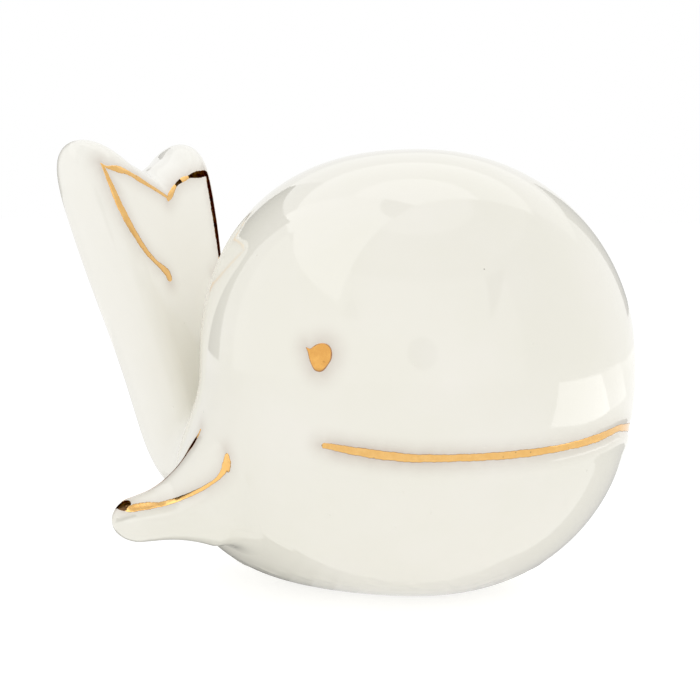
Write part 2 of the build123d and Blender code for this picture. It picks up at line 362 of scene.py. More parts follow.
# gold mouth line
# One long stroke of liquid gold, brushed along the groove from one side of the head to the other and
# fired on in a third, cooler firing. It is a bright skin, with uneven edges where the brush dragged.
gold_height = 0.05
gold_sink = 0.05
gold_drop = 0.01
edge_waver = 0.075
edge_waves = (3.7, 1.9, 0.83, 0.41)
ring_points = 16
mouth_line_rows = 420
gold_end_turn = math.radians(87.1)
mouth_line_widths = (0.64, 1.08, 0.96, 0.9, 0.96, 0.88, 1.05, 0.87, 1.05, 0.88, 0.96, 0.9, 0.96, 1.08, 0.6)
fume_reach = 2.9


def smooth_line(points, at, closed=False):
    """A natural or a closed cubic spline through points, whose knots are as far apart as the points
    are; it is read at shares of the whole length."""
    points = np.asarray(points, float)
    loop = np.vstack([points, points[:1]]) if closed else points
    knots = np.concatenate([[0], np.cumsum(np.linalg.norm(np.diff(loop, axis=0), axis=1))])
    knots = knots / knots[-1]
    step = np.diff(knots)
    slope = np.diff(loop, axis=0) / step[:, None]
    n = len(loop)
    system, target = np.eye(n), np.zeros_like(loop)
    inside = np.arange(1, n - 1)
    system[inside, inside - 1] = step[:-1]
    system[inside, inside] = 2 * (step[:-1] + step[1:])
    system[inside, inside + 1] = step[1:]
    target[1:-1] = 6 * np.diff(slope, axis=0)
    if closed:
        system[0, [0, 1, n - 2]] = (2 * (step[0] + step[-1]), step[0], step[-1])
        target[0] = 6 * (slope[0] - slope[-1])
        system[-1, [0, n - 1]] = (1, -1)
    bend = np.linalg.solve(system, target)
    at = np.asarray(at, float)
    k = np.clip(np.searchsorted(knots, at, side="right") - 1, 0, n - 2)
    after, before = (knots[k + 1] - at)[..., None], (at - knots[k])[..., None]
    h = step[k][..., None]
    curve = (bend[k] * after ** 3 + bend[k + 1] * before ** 3) / (6 * h)
    return curve + (loop[k] / h - bend[k] * h / 6) * after + (loop[k + 1] / h - bend[k + 1] * h / 6) * before


def stroke_grid(place, line, widths, seed, rows=180, rounding=0.8, nudge=1e-3):
    """A brush stroke on a surface: a smooth line through places in the surface's own two measures, with
    a low crowned ring of points round each step of it. The half width follows the widths given along
    it, both edges waver on their own, and the ends close in quarter circles."""
    share = np.linspace(0, 1, rows)
    way = smooth_line(line, share)
    ahead, behind = [place(smooth_line(line, np.clip(share + move, 0, 1))) for move in (nudge, -nudge)]
    forward = unit(ahead - behind)
    first, second = [(place(way + d) - place(way - d)) / (2 * nudge) for d in np.eye(2) * nudge]
    normal = unit(np.cross(first, second))
    across = np.cross(normal, forward)
    a, b, c = [(m * n).sum(-1) for m, n in ((first, first), (first, second), (second, second))]
    d, e = (first * across).sum(-1), (second * across).sum(-1)
    per_mm = np.stack([c * d - b * e, a * e - b * d], -1) / (a * c - b * b)[:, None]
    far = np.concatenate([[0], np.cumsum(np.linalg.norm(np.diff(place(way), axis=0), axis=1))])
    half = smooth_line(np.stack([np.linspace(0, far[-1], len(widths)), widths], -1), share)[:, 1] / 2
    end = np.clip(np.minimum(far, far[-1] - far) / (half * rounding), 0, 1)
    half = half * np.sqrt(1 - (1 - end) ** 2)
    ring = full_turn(ring_points)
    edges = np.stack([waver(far, edge_waves, seed + side) for side in (0, 1)], -1)
    lean = (1 + np.cos(ring)) / 2
    uneven = 1 + edge_waver * (edges[:, :1] * (1 - lean) + edges[:, 1:] * lean)
    offset = half[:, None] * uneven * np.cos(ring)
    crown = np.where(np.sin(ring) > 0, gold_height, gold_sink) * np.sin(ring) - gold_drop
    crown = crown * smoothstep(end, 0, 1)[:, None]
    return place(way[:, None] + per_mm[:, None] * offset[..., None]) + normal[:, None] * crown[..., None]


def gold_strokes(name, *grids):
    """A gold mesh of closed stroke grids, with its finish."""
    ring_across = (1 + np.cos(full_turn(ring_points))) / 2
    piece = surface(name, *grids, ends=(True, True), across=ring_across)
    finish_with(piece, gold)
    return piece


def fume(piece, marks, strength=1.0):
    """Marks how near each corner of a glazed piece lies to points of the gold, times their strength,
    falling off as the square of the share of the fumes' reach that is left."""
    corners = np.zeros(len(piece.data.vertices) * 3)
    piece.data.vertices.foreach_get("co", corners)
    corners = corners.reshape(-1, 3) / mm
    low, high = marks.min(0) - fume_reach, marks.max(0) + fume_reach
    near = np.flatnonzero(((corners > low) & (corners < high)).all(-1))
    gaps = np.sqrt(((corners[near, None] - marks[None]) ** 2).sum(-1))
    gap = gaps.min(1)
    strength = np.broadcast_to(strength, len(marks))[gaps.argmin(1)]
    layer = piece.data.attributes.get("gold_fume") or piece.data.attributes.new("gold_fume", "FLOAT", "POINT")
    values = np.zeros(len(corners), np.float32)
    layer.data.foreach_get("value", values)
    values[near] = np.maximum(values[near], strength * np.clip(1 - gap / fume_reach, 0, 1) ** 2)
    layer.data.foreach_set("value", values)


gold_yellow = (0.77, 0.455, 0.155)
gold_pale = (0.82, 0.51, 0.19)
gold_rim_brown = (0.34, 0.17, 0.09)
gold_roughness = 0.13
mottle_scale, pit_scale = 1100.0, 900.0
rim_unevenness = 0.12
brush_relief = 0.00002


def gold_finish(name, deep, pale, pit_share=0.7):
    """Bright fired gold: mottled where it lies thicker, brown and thin along its edges, with pinholes
    down to the glaze and a faint unevenness from the brush."""
    material, tree = new_material(name)
    shader = tree.nodes["Principled BSDF"]
    place = add_node(tree, "TexCoord").outputs["Object"]
    across = add_node(tree, "SeparateXYZ", Vector=add_node(tree, "TexCoord").outputs["UV"]).outputs["Y"]
    thick = add_node(tree, "TexNoise", Vector=place, Scale=mottle_scale, Detail=4.0, Roughness=0.6).outputs["Fac"]
    colour = blend_colours(tree, ramp(tree, thick, (0.4, 0.0), (0.7, 1.0)), (*deep, 1), (*pale, 1))
    rim = sum_node(tree, "ABSOLUTE", sum_node(tree, "SUBTRACT", across, 0.5))
    rim = sum_node(tree, "MULTIPLY_ADD", thick, rim_unevenness, rim)
    colour = blend_colours(tree, ramp(tree, rim, (0.50, 0.0), (0.555, 1.0)), colour, (*gold_rim_brown, 1))
    pit = add_node(tree, "TexVoronoi", Vector=place, Scale=pit_scale).outputs["Distance"]
    colour = blend_colours(tree, ramp(tree, pit, (0.05, pit_share), (0.11, 0.0)), colour, (*gold_rim_brown, 1))
    brushed = add_node(tree, "Bump", Strength=0.4, Distance=brush_relief, Height=thick).outputs["Normal"]
    shader.inputs["Metallic"].default_value = 1.0
    shader.inputs["Roughness"].default_value = gold_roughness
    tree.links.new(colour, shader.inputs["Base Color"])
    tree.links.new(brushed, shader.inputs["Normal"])
    return material


gold = gold_finish("gold_lustre", gold_yellow, gold_pale)
# Dark gold: partly gold that pooled and fired too thick, partly painted shade and reflection where the line's edge
# turns away towards dark surroundings. Its brown sheen keeps its gloss dark too.
pooled_and_shade_brown = (0.012, 0.007, 0.004)
pooled_and_shade_amber = (0.12, 0.065, 0.03)
pooled_and_shade_sheen = (0.45, 0.32, 0.22)
pooled_and_shaded_gold = gold_finish("gold_lustre_pooled_and_shaded", pooled_and_shade_brown, pooled_and_shade_amber)
pooled_and_shaded_gold.node_tree.nodes["Principled BSDF"].inputs["Specular Tint"].default_value = (*pooled_and_shade_sheen, 1)


def darken_gold(line, strokes, *parts):
    """Turns parts of a gold line dark: partly gold that pooled and fired too thick, partly painted shade
    where the line's edge turns away and mirrors dark surroundings; each part is the number of its stroke,
    and the shares of the stroke's length where it starts and ends."""
    mesh = line.data
    mesh.materials.append(pooled_and_shaded_gold)
    firsts, spots = np.zeros(len(mesh.polygons), np.int32), np.zeros(len(mesh.loops) * 2, np.float32)
    mesh.polygons.foreach_get("loop_start", firsts)
    mesh.uv_layers["map"].data.foreach_get("uv", spots)
    along = spots[2 * firsts]
    stroke = np.arange(len(along)) * strokes // len(along)
    dark = np.zeros(len(along), bool)
    for number, start, end in parts:
        dark |= (stroke == number) & (along >= start) & (along <= end)
    mesh.polygons.foreach_set("material_index", dark.astype(np.int32))


def on_skin(way):
    """A point of the body's skin from its height and the length round it, both in millimetres."""
    return skin_place(way[..., 0], way[..., 1] / ball_radius)


mouth_turns = np.linspace(-gold_end_turn, gold_end_turn, 41)
mouth_grid = stroke_grid(on_skin, np.stack([mouth_level(mouth_turns), mouth_turns * ball_radius], -1),
                         mouth_line_widths, seed=21, rows=mouth_line_rows)
mouth = gold_strokes("brushed_mouth_line", mouth_grid)
# The fume is faint at the nose, stronger towards the corners and faint again past the line's ends.
along_mouth = np.abs(np.linspace(-1, 1, mouth_line_rows))
mouth_fume = 0.58 + 0.4 * smoothstep(along_mouth, 0.45, 0.8) - 0.5 * smoothstep(along_mouth, 0.95, 1)
fume(body, mouth_grid.mean(1), strength=mouth_fume)
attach(mouth, "root")
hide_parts("mouth_line")

# gold eyes
# Each eye is one dab of a redder gold, set down with a round brush and lifted off at its upper rear,
# where it leaves a small corner. A drop of it pooled low down, with a dip beside it.
eye_height = 32.2
eye_forward_length = 0.65
eye_width = 3.44
eye_length = 3.32
eye_shares = [(-1, 0.68), (-0.71, 0.59), (-0.48, 0.71), (-0.21, 0.89), (0.09, 0.99), (0.39, 1), (0.7, 0.89),
              (0.91, 0.64), (1, 0.29), (0.97, -0.06), (0.82, -0.36), (0.64, -0.63), (0.36, -0.93), (0.06, -1),
              (-0.24, -0.91), (-0.48, -0.6), (-0.67, -0.2), (-0.79, 0.19), (-0.9, 0.48)]


def slope_of(field, place, step=0.02):
    """A field's gradient, by small steps to both sides along each axis."""
    shifts = np.eye(3) * step
    return np.stack([(field(place + s) - field(place - s)) / (2 * step) for s in shifts], -1)


eye_outline = smooth_line(eye_shares, np.linspace(0, 1, 97)[:-1], closed=True)
eye_gold_deep = (0.61, 0.315, 0.085)
eye_gold_pale = (0.70, 0.385, 0.11)
dab_gold = gold_finish("gold_lustre_dab", eye_gold_deep, eye_gold_pale, pit_share=0.9)
flat_rings = 19
eye_rings = np.concatenate([np.linspace(0, 0.9, flat_rings), [0.95, 0.985, 1.0, 1.0]])
eye_rise = gold_height * np.concatenate([np.full(flat_rings, 1.0), [0.85, 0.55, -0.1, -1.0]])
eye_spread = eye_outline[None] * eye_rings[:, None, None]


def heap(across_share, up_share, size):
    """A round heap in the eye's own shares, as a bell curve of the distance from its top."""
    return np.exp(-(((eye_spread - (across_share, up_share)) / size) ** 2).sum(-1))


pooled = 0.9 * heap(0.05, -0.66, 0.3) + 0.5 * heap(0.3, 0.45, 0.45) - 0.7 * heap(0.42, -0.38, 0.13)
eye_lift = eye_rise[:, None] * (1 + pooled * (eye_rings < 0.99)[:, None])
eye_x = body_centre_x + eye_forward_length + eye_spread[..., 0] * eye_width / 2
eye_z = eye_height + eye_spread[..., 1] * eye_length / 2
side_turn = math.pi / 2
eye_forward = eye_x - body_centre_x + rear_reach(eye_z) * rear_share(side_turn)
eye_turn = -np.arccos(np.clip(eye_forward / half_width(eye_z, side_turn), -1, 1))
eye_base = skin_place(eye_z, eye_turn)
eye_normal = unit(slope_of(body_field, eye_base))
right_eye_grid = eye_base + eye_normal * eye_lift[..., None]
for name, node, mirror in (("right_eye_dab", "right_eye", 1), ("left_eye_dab", "left_eye", -1)):
    points = (right_eye_grid * np.array([1, mirror, 1]))[:, ::mirror]
    eye = surface(name, points, ends=(True, False), across=(1 + eye_rings[:, None]) / 2)
    finish_with(eye, dab_gold)
    fume(body, points[-1], strength=0.55)
    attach(eye, "root")
    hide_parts(node)

# tail
# The tail is a fat paddle with two rounded lobes, pressed from clay in a mould of its own. It leans
# back behind the ball. Its glaze is painted paler and whiter than the body's, as painted light in the
# corner between the tail and the ball.
tail_root_height = 15.0
tail_standout = 5.9
tail_lean = math.radians(14.8)
tail_thickness = 9.2
tail_half_width = 15.2
tail_stock_half_width = 8.4
tail_length = 44.8
tail_root_depth = 6.0
notch_depth = 4.8
lobe_shares = [(0, 1), (0.2, 0.8), (0.5, 0.38), (0.76, 0.02), (0.93, 0.16), (1, 0.85)]
side_shares = [(0.05, 0.81), (0.26, 0.63), (0.6, 0.4), (0.85, 0.21), (1, 0.04)]
root_side_share = 0.8
root_drop_share = 0.58
tail_middle = tail_length * 0.6
tail_rim_share = 0.33


def tail_outline():
    """The tail's outline as (side, up) pairs, from the notch round one lobe, the root and back."""
    half = [(a * tail_half_width, tail_length - b * notch_depth) for a, b in lobe_shares]
    taper = tail_stock_half_width - tail_half_width
    half += [(tail_half_width + a * taper, b * tail_length) for a, b in side_shares]
    half += [(root_side_share * tail_stock_half_width, -root_drop_share * tail_root_depth), (0, -tail_root_depth)]
    return half + [(-side, up) for side, up in half[-2:0:-1]]


tail_root_x = body_centre_x - ball_radius - tail_standout


def tail_place(out, side, up):
    """A point given in the tail's own leaning frame: out of its front, to its side and up it."""
    x = tail_root_x + out * math.cos(tail_lean) - up * math.sin(tail_lean)
    z = tail_root_height + out * math.sin(tail_lean) + up * math.cos(tail_lean)
    return np.stack(np.broadcast_arrays(x, side, z), -1)


def tail_own(place):
    """The reverse of tail_place: (out, side, up) of a point."""
    x = place[..., 0] - tail_root_x
    z = place[..., 2] - tail_root_height
    return (x * math.cos(tail_lean) + z * math.sin(tail_lean), place[..., 1],
            z * math.cos(tail_lean) - x * math.sin(tail_lean))


outline_table = smooth_line(tail_outline(), np.linspace(0, 1, 1441)[:-1], closed=True)
outline_turns = np.arctan2(outline_table[:, 0], outline_table[:, 1] - tail_middle)
outline_order = np.argsort(outline_turns)
outline_turns = outline_turns[outline_order]
outline_radii = np.hypot(outline_table[:, 0], outline_table[:, 1] - tail_middle)[outline_order]


def past_flat(side, up):
    """How far a place lies past the flat face, as a share of the rim: 0 at its start, 1 at the outline."""
    radius = np.interp(np.arctan2(side, up - tail_middle), outline_turns, outline_radii, period=2 * math.pi)
    past = np.hypot(side, up - tail_middle) / radius - (1 - tail_rim_share)
    return np.clip(past, 0, None) / tail_rim_share


def tail_front(side, up):
    """How far the tail's front face stands out: flat inside, then a quarter of an ellipse to the rim."""
    return tail_thickness / 2 * np.sqrt(np.clip(1 - past_flat(side, up) ** 2, 0, 1))


def tail_field(place):
    """Below 0 inside the tail and above 0 outside, from the same flat face and elliptic rim."""
    out, side, up = tail_own(place)
    return np.sqrt(past_flat(side, up) ** 2 + (out / (tail_thickness / 2)) ** 2) - 1


flat_rows, rim_rows = 14, 73
outline = smooth_line(tail_outline(), np.linspace(0, 1, 361)[:-1], closed=True)
rim_turns = np.concatenate([np.zeros(flat_rows), np.linspace(0, math.pi, rim_rows), np.full(flat_rows, math.pi)])
cap = np.linspace(0, 1, flat_rows + 1)
sizes = 1 - tail_rim_share * (1 - np.sin(rim_turns))
sizes[:flat_rows] *= cap[:-1]
sizes[-flat_rows:] *= cap[-2::-1]
out_rows = tail_thickness / 2 * np.cos(rim_turns)
tail_points = tail_place(out_rows[:, None], outline[None, :, 0] * sizes[:, None],
                         tail_middle + (outline[None, :, 1] - tail_middle) * sizes[:, None])
tail = surface("tail_paddle", tail_points, ends=(True, True))
# The same glaze as the body's, painted paler and whiter: painted light that lifts the shade in the corner between
# tail and ball.
tail_painted_light_cream = (0.908, 0.890, 0.822)
tail_painted_light_pale = (0.918, 0.903, 0.842)
tail_painted_light_glaze = glaze_finish("tail_painted_light_glaze", tail_painted_light_cream, tail_painted_light_pale)
finish_with(tail, tail_painted_light_glaze)
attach(tail, "root")
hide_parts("tail")

# slip round the tail
# The bead of liquid clay that sticks the tail on. It fills the corner all round, was wiped hollow with
# a brush before the firing, and takes the tail's glaze, whose paler colour is painted light in the corner.
tail_slip_tail_reach = 3.2
tail_slip_body_reach = 2.3
tail_contact_height = 6.0
tail_contact_half_width = 8.0
tail_contact_half_height = 9.0
bead_sink = 0.015
bead_handle_share = 0.72
tuck_share = 0.35
tuck_depth = 0.12


def settle(fields, place, rounds=14):
    """Moves points by the least steps until all the fields are 0 there, by Newton's method."""
    for _ in range(rounds):
        values = np.stack([f(place) for f in fields], -1)
        slopes = np.stack([slope_of(f, place) for f in fields], -2)
        square = slopes @ np.swapaxes(slopes, -1, -2)
        pull = np.linalg.solve(square + 1e-9 * np.eye(len(fields)), values[..., None])
        move = -(np.swapaxes(slopes, -1, -2) @ pull)[..., 0]
        size = np.linalg.norm(move, axis=-1, keepdims=True)
        place = place + move * np.minimum(1, 1.0 / np.maximum(size, 1e-9))
    return place


def hollow_bead(start, end, start_run, end_run, rows):
    """A cubic curve from start to end whose two handles run along each surface towards the corner."""
    t = np.linspace(0, 1, rows)[:, None, None]
    a, b = start + start_run * bead_handle_share, end + end_run * bead_handle_share
    return start * (1 - t) ** 3 + 3 * a * t * (1 - t) ** 2 + 3 * b * t ** 2 * (1 - t) + end * t ** 3


def flat_part(way, normal):
    """The part of a way that lies in the surface with this normal."""
    return way - (way * normal).sum(-1, keepdims=True) * normal


round_turns = full_turn(240)
guess = tail_place(tail_thickness / 2, tail_contact_half_width * np.sin(round_turns),
                   tail_contact_height + tail_contact_half_height * np.cos(round_turns))
corner = settle([tail_field, body_field], guess)
tail_normal = unit(slope_of(tail_field, corner))
body_normal = unit(slope_of(body_field, corner))
tail_edge = settle([tail_field], corner + unit(flat_part(body_normal, tail_normal)) * tail_slip_tail_reach)
body_edge = settle([body_field], corner + unit(flat_part(tail_normal, body_normal)) * tail_slip_body_reach)
tail_edge_normal = unit(slope_of(tail_field, tail_edge))
body_edge_normal = unit(slope_of(body_field, body_edge))
tail_run = flat_part(corner - tail_edge, tail_edge_normal)
body_run = flat_part(corner - body_edge, body_edge_normal)
tail_edge = tail_edge - tail_edge_normal * bead_sink
body_edge = body_edge - body_edge_normal * bead_sink
bead = hollow_bead(tail_edge, body_edge, tail_run, body_run, rows=25)
tail_tuck = tail_edge - tail_run * tuck_share - tail_edge_normal * tuck_depth
body_tuck = body_edge - body_run * tuck_share - body_edge_normal * tuck_depth
bead = np.concatenate([tail_tuck[None], bead, body_tuck[None]])
tail_slip = surface("tail_slip_bead", bead)
# The bead takes the tail's paler glaze, which is painted light in that corner.
finish_with(tail_slip, tail_painted_light_glaze)
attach(tail_slip, "root")
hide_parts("tail_slip")

# gold fluke line
# Four strokes on the front of the tail that meet in a heart: one down each side, each ending in a
# blob where the brush was lifted, and one along the top of each lobe down to the notch.
near_side = [(-12.85, 40.45), (-12.38, 37.55), (-11.45, 33.95), (-10.0, 30.6), (-7.95, 27.7), (-5.7, 25.9),
             (-4.5, 24.75), (-4.35, 23.75)]
near_side_widths = (0.32, 0.58, 0.78, 0.93, 1.06, 1.1, 1.11, 1.1, 1.06, 0.9, 0.84, 1.35, 1.15)
near_top = [(-13.0, 40.6), (-12.4, 40.0), (-11.7, 39.8), (-8.9, 39.2), (-6.05, 38.1), (-3.1, 36.88), (-0.25, 35.6)]
near_top_widths = (0.2, 0.45, 1.05, 0.97, 0.78, 0.7, 0.81, 0.78, 0.66, 0.6, 0.58, 0.57, 0.5)
far_top = [(-0.6, 35.2), (1.0, 36.3), (1.9, 37.0), (4.5, 38.2), (6.75, 38.75), (8.9, 39.05), (11.5, 39.3)]
far_top_widths = (0.6, 0.95, 0.85, 0.58, 0.5, 0.62, 0.72, 0.5, 0.7, 1.0, 1.08, 1.05, 0.9)
far_side = [(11.7, 39.7), (11.25, 37.1), (10.9, 33.8), (10.5, 30.5), (9.95, 27.6), (9.0, 25.3), (7.2, 24.2)]
far_side_widths = (1.0, 1.4, 1.45, 1.5, 1.6, 1.55, 1.4, 1.1, 0.9, 0.85)


def on_tail_front(way):
    """A point of the tail's front from its side and height in the tail's own frame."""
    return tail_place(tail_front(way[..., 0], way[..., 1]), way[..., 0], way[..., 1])


fluke_strokes = [(near_side, near_side_widths), (near_top, near_top_widths),
                 (far_top, far_top_widths), (far_side, far_side_widths)]
fluke_grids = [stroke_grid(on_tail_front, line, widths, seed=31 + 4 * k)
               for k, (line, widths) in enumerate(fluke_strokes)]
fluke_line = gold_strokes("brushed_fluke_line", *fluke_grids)
# The far lobe's top and far side are dark: painted reflection of dark surroundings on the turned-away rim, with some
# pooled gold.
darken_gold(fluke_line, len(fluke_grids), (2, 0.29, 0.43), (2, 0.585, 1.0), (3, 0.0, 0.78))
fume(tail, np.concatenate(fluke_grids).mean(1)[::2], strength=0.55)
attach(fluke_line, "root")
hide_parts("fluke_line")

# flippers
# Each flipper is a short fat fin, pinched out of soft clay with a dished top. It flares up the body,
# where it is stuck on with slip that is wiped into a hollow corner all round. The left one mirrors
# the right.
flipper_heading = math.radians(120.5)
flipper_tip_back = 25.3
flipper_standout = 4.3
flipper_tip_height = 11.2
flipper_root_height = 13.8
flipper_length = 21.5
flipper_root_chord = 13.0
flipper_root_thickness = 9.5
flipper_tip_chord = 6.4
flipper_tip_thickness = 4.8
flipper_tip_round = 3.2
flare_length = 7.0
flare_rise = 6.5
flare_drop = 1.2
flare_side = 1.5
flipper_roll = math.radians(32)
roll_ease_share = 0.6
root_share = 0.42
dish_share = 0.6
flipper_slip_reach = 2.6
section_points = 144
contact_along_range = (0.1, 0.85)
small_share = 0.002
row_crowding = 1.7


def flipper_place(along, turn):
    """A point of the right flipper: an ellipse-like section with a dished top, carried along a
    straight axis to the tip, smaller and less rolled on the way, and flared where it meets the body."""
    axis = np.array([math.cos(flipper_heading), -math.sin(flipper_heading), 0])
    back = np.array([-math.sin(flipper_heading), -math.cos(flipper_heading), 0])
    up = np.array([0, 0, 1.0])
    tip = np.array([body_centre_x - flipper_tip_back, -ball_radius - flipper_standout, flipper_tip_height])
    inner_end = tip - axis * flipper_length + up * (flipper_root_height - flipper_tip_height)
    from_tip = np.minimum((1 - along) * flipper_length / flipper_tip_round, 1)
    cap_share = np.sqrt(np.clip(1 - (1 - from_tip) ** 2, 0, 1))
    chord = flipper_root_chord + (flipper_tip_chord - flipper_root_chord) * along
    thickness = flipper_root_thickness + (flipper_tip_thickness - flipper_root_thickness) * along
    roll = (flipper_roll * (1 - roll_ease_share * along))[..., None]
    rear = back * np.cos(roll) + up * np.sin(roll)
    lift_way = up * np.cos(roll) - back * np.sin(roll)
    high = np.sin(turn)
    dish = 1 - dish_share * np.maximum(high, 0) ** 2
    flare = np.maximum(1 - np.maximum(along - root_share, 0) * flipper_length / flare_length, 0) ** 2
    aft = (chord * cap_share / 2 + flare_side * flare) * np.cos(turn)
    rise = thickness * cap_share / 2 * dish * high + flare * high * np.where(high > 0, flare_rise, flare_drop)
    return inner_end + (tip - inner_end) * along[..., None] + rear * aft[..., None] + lift_way * rise[..., None]


section_turns = full_turn(section_points)
# Where the fin meets the body, by halving the range again and again.
halvings = 40
inside, outside = [np.full(section_points, along) for along in contact_along_range]
for _ in range(halvings):
    middle = (inside + outside) / 2
    hidden = body_field(flipper_place(middle, section_turns)) < 0
    inside, outside = np.where(hidden, middle, inside), np.where(hidden, outside, middle)
root_along = outside
corner = flipper_place(root_along, section_turns)


def way_to_root(along):
    """The unit way along the fin's skin towards its root."""
    nearer = flipper_place(along - small_share, section_turns)
    return unit(nearer - flipper_place(along + small_share, section_turns))


way_round = unit(flipper_place(root_along, section_turns + small_share)
                 - flipper_place(root_along, section_turns - small_share))
fin_normal = unit(np.cross(way_round, -way_to_root(root_along)))
fin_normal *= np.sign((fin_normal * (corner - corner.mean(0))).sum(-1, keepdims=True))
body_normal = unit(slope_of(body_field, corner))
body_edge = settle([body_field], corner + unit(flat_part(fin_normal, body_normal)) * flipper_slip_reach)
body_edge_normal = unit(slope_of(body_field, body_edge))
edge_along = root_along + flipper_slip_reach / flipper_length
fin_edge = flipper_place(edge_along, section_turns)
fin_run = way_to_root(edge_along) * np.linalg.norm(corner - fin_edge, axis=-1, keepdims=True)
body_run = flat_part(corner - body_edge, body_edge_normal)
body_edge = body_edge - body_edge_normal * bead_sink
bead = hollow_bead(fin_edge, body_edge, fin_run, body_run, rows=21)
body_tuck = body_edge - body_run * tuck_share - body_edge_normal * tuck_depth
fin_alongs = 1 - (1 - edge_along) * np.linspace(0, 1, 61)[:, None] ** row_crowding
fin_rows = flipper_place(fin_alongs, section_turns[None, :] + 0 * fin_alongs)
right_points = np.concatenate([fin_rows[:-1], bead, body_tuck[None]])
flippers = {}
for name, node, mirror in (("right_flipper_fin", "right_flipper", 1), ("left_flipper_fin", "left_flipper", -1)):
    points = right_points * np.array([1, mirror, 1])
    fin = surface(name, points[:, ::-mirror], ends=(True, False))
    finish_with(fin, glaze)
    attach(fin, "root")
    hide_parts(node, node + "_slip")
    flippers[mirror] = fin

# gold flipper lines
# One stroke along the front edge of each flipper, from where it was pressed down on the body to the
# tip, which is dabbed all over, and a thin one from the root back along the rear edge. The lines are
# places by row and column in the flipper's own grid of points.
front_line = [(76.2, 46.0), (74.2, 47.5), (71.8, 48.6), (69.0, 49.3), (66.5, 49.7), (63.5, 49.2), (60.5, 47.9),
              (56.5, 44.4), (52.5, 41.1), (47.5, 37.8), (40.8, 35.2), (32.5, 33.0), (22.0, 30.4)]
front_widths = (0.75, 1.35, 0.62, 0.58, 0.76, 0.88, 1.09, 1.2, 1.52, 1.85, 1.8, 1.6, 0.7)
rear_line = [(76.5, 21.0), (74.0, 20.2), (71.5, 18.6), (69.5, 17.0), (67.5, 14.5), (64.5, 12.8), (60.0, 11.2),
             (50.0, 9.2), (40.0, 8.8), (30.0, 10.0), (24.0, 13.0)]
rear_widths = (0.25, 0.7, 1.1, 1.25, 1.3, 1.0, 0.6, 0.45, 0.42, 0.42, 0.45, 0.6)
tip_line = [(30.0, 24.0), (26.0, 22.2), (21.0, 20.2), (16.5, 18.0)]
tip_widths = (1.5, 2.5, 2.3, 1.6)


def on_fin(way):
    """A point of the right flipper's skin, from its row and its column in the grid of points."""
    row = np.clip(way[..., 0], 0, len(right_points) - 1.001)
    r, c = np.floor(row).astype(int), np.floor(way[..., 1]).astype(int)
    down, over = (row - r)[..., None], (way[..., 1] - c)[..., None]
    c, d = c % right_points.shape[1], (c + 1) % right_points.shape[1]
    upper = right_points[r, c] * (1 - over) + right_points[r, d] * over
    lower = right_points[r + 1, c] * (1 - over) + right_points[r + 1, d] * over
    return upper * (1 - down) + lower * down


fin_strokes = [(front_line, front_widths), (rear_line, rear_widths), (tip_line, tip_widths)]
fin_grids = [stroke_grid(on_fin, line, widths, seed=51 + 4 * k) for k, (line, widths) in enumerate(fin_strokes)]
for name, node, mirror in (("right_brushed_flipper_line", "right_flipper_line", 1),
                           ("left_brushed_flipper_line", "left_flipper_line", -1)):
    grids = [points[:, ::mirror] * np.array([1, mirror, 1]) for points in fin_grids]
    line = gold_strokes(name, *grids)
    darken_gold(line, len(grids), (1, 0.07, 0.45), (2, 0.0, 1.0))
    for glazed in (flippers[mirror], body):
        fume(glazed, np.concatenate(grids).mean(1)[::2], strength=0.5)
    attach(line, "root")
    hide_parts(node)

# studio
# A white sheet as floor and background, five plain soft boxes, and cards round about that only the
# glaze and the gold mirror. The camera stands low, to the right of the whale's front, a hand's length off.
photo_side = 700
focus_pixels = 1750.0
pixel = 0.13
ball_pixel = (418, 366)
film_width = 36
azimuth, elevation = math.radians(28), math.radians(5)
scene = bpy.context.scene
camera_data = bpy.data.cameras.new("camera")
camera = bpy.data.objects.new("camera", camera_data)
scene.collection.objects.link(camera)
scene.camera = camera
look = np.array([-math.sin(azimuth) * math.cos(elevation), math.cos(azimuth) * math.cos(elevation),
                 -math.sin(elevation)])
right = np.array([math.cos(azimuth), math.sin(azimuth), 0])
above = np.cross(right, look)
target = np.array([body_centre_x, 0, body_centre_height])
spot = target - look * focus_pixels * pixel
spot = spot - right * (ball_pixel[0] - photo_side / 2) * pixel + above * (ball_pixel[1] - photo_side / 2) * pixel
camera.location = (spot * mm).tolist()
camera.rotation_euler = (math.pi / 2 - elevation, 0, azimuth)
camera_data.sensor_width = film_width
camera_data.lens = film_width * focus_pixels / photo_side
camera_data.clip_start, camera_data.clip_end = 0.01, 20

world_light, world_seen = 0.80, 1.0
paper_grey, paper_light, paper_seen = 0.55, 0.47, 0.60
scene.view_settings.view_transform = "Standard"
world = bpy.data.worlds.new("studio")
scene.world = world
world.use_nodes = True


def shown_strength(tree, light, seen):
    """A strength: one value where it lights the scene, another where the camera, gloss or glass sees it."""
    path = add_node(tree, "LightPath").outputs
    straight = sum_node(tree, "MAXIMUM", path["Is Camera Ray"], path["Is Glossy Ray"])
    straight = sum_node(tree, "MAXIMUM", straight, path["Is Transmission Ray"])
    return add_node(tree, "MapRange", Value=straight, i3=light, i4=seen).outputs[0]


sky = world.node_tree.nodes["Background"].inputs
world.node_tree.links.new(shown_strength(world.node_tree, world_light, world_seen), sky["Strength"])
sky["Color"].default_value = (1, 1, 1, 1)


